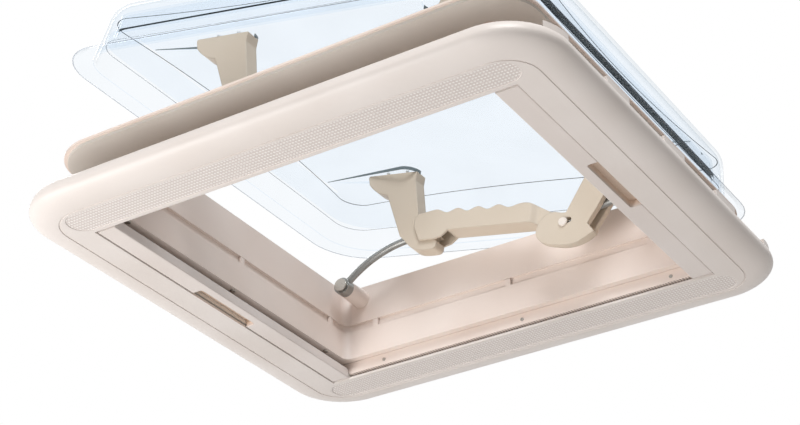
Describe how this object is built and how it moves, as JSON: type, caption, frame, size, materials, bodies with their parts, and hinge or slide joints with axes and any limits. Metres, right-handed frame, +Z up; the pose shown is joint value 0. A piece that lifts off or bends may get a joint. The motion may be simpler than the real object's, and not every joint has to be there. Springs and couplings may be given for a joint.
{
  "type": "caravan roof window",
  "caption": "Tilting caravan roof window with clear dome, light shaft, inner trim, pleated blackout blind and flyscreen, scalloped grips and bent stays.",
  "frame": {"origin": "middle of the inner trim's flat room-side face", "axes": "+Z up through the roof, +X towards the flyscreen side and the dome's closed edge, +Y towards the far grip"},
  "size_m": [0.54, 0.526, 0.2319],
  "materials": {
    "trim_plastic": "fine moulded grain, warm cream",
    "bar_plastic": "satin moulding, warm cream",
    "grille_plastic": "fine dotted texture",
    "frame_plastic": "satin moulding, warm cream",
    "seal_rubber": "matt black sealing rubber",
    "dome_acrylic": "clear acrylic, slightly blue",
    "leg_plastic": "satin beige moulding",
    "stay_steel": "grey coated tube",
    "fixings_steel": "zinc plated",
    "shoe_plastic": "smooth sliding plastic",
    "blackout_fabric": "coated pleated blackout cloth",
    "flyscreen_fabric": "fine pleated mesh"
  },
  "bodies": {
    "frame": {"inner_trim": "trim_plastic", "grille_far": "grille_plastic", "grille_near": "grille_plastic", "light_shaft": "trim_plastic", "outer_frame": "frame_plastic", "roof_gasket": "seal_rubber", "dome_seal": "seal_rubber", "rail_far": "trim_plastic", "rail_near": "trim_plastic", "rail_screws": "fixings_steel", "ledge_screws": "fixings_steel", "blackout_case": "trim_plastic", "flyscreen_case": "trim_plastic", "blackout_pleats": "blackout_fabric", "flyscreen_pleats": "flyscreen_fabric", "pivot_screws": "fixings_steel"},
    "dome": {"dome_outer_pane": "dome_acrylic", "dome_inner_pane": "dome_acrylic", "leg_left_far": "leg_plastic", "leg_left_near": "leg_plastic", "leg_right_far": "leg_plastic", "leg_right_near": "leg_plastic", "leg_screws": "fixings_steel", "grip_pins": "fixings_steel"},
    "left_stays": {"stay_left_far": "stay_steel", "stay_left_near": "stay_steel", "foot_pins_left": "fixings_steel"},
    "right_stays": {"stay_right_far": "stay_steel", "stay_right_near": "stay_steel", "foot_pins_right": "fixings_steel"},
    "far_grip": {"grip_far": "leg_plastic"},
    "near_grip": {"grip_near": "leg_plastic"},
    "blackout": {"blackout_bar": "bar_plastic", "blackout_shoes": "shoe_plastic"},
    "flyscreen": {"flyscreen_bar": "bar_plastic", "flyscreen_shoes": "shoe_plastic"}
  },
  "joints": [
    {"name": "dome_tilt", "type": "hinge", "parent": "frame", "child": "dome", "pos_m": [0.235, 0, 0.073], "axis": [0, 1, 0], "range_deg": [-12.5, 0]},
    {"name": "left_stays_swing", "type": "hinge", "parent": "frame", "child": "left_stays", "pos_m": [-0.1746, 0, 0.0826], "axis": [0, 1, 0], "range_deg": [0, 49.1]},
    {"name": "right_stays_swing", "type": "hinge", "parent": "frame", "child": "right_stays", "pos_m": [0.1746, 0, 0.0826], "axis": [0, 1, 0], "range_deg": [-20.6, 0]},
    {"name": "far_grip_release", "type": "hinge", "parent": "dome", "child": "far_grip", "pos_m": [0.07794, 0.152, 0.08068], "axis": [0, -1, 0], "range_deg": [0, 4.5]},
    {"name": "near_grip_release", "type": "hinge", "parent": "dome", "child": "near_grip", "pos_m": [0.07794, -0.152, 0.08068], "axis": [0, -1, 0], "range_deg": [0, 4.5]},
    {"name": "blackout_slide", "type": "slide", "parent": "frame", "child": "blackout", "axis": [1, 0, 0], "range_m": [0, 0.384], "deforming": ["blackout_pleats"]},
    {"name": "flyscreen_slide", "type": "slide", "parent": "frame", "child": "flyscreen", "axis": [1, 0, 0], "range_m": [-0.384, 0], "deforming": ["flyscreen_pleats"]}
  ],
  "couplings": [
    {"joint": "left_stays_swing", "follows": "dome_tilt", "ratio": -3.9237},
    {"joint": "right_stays_swing", "follows": "dome_tilt", "ratio": 1.6414}
  ]
}
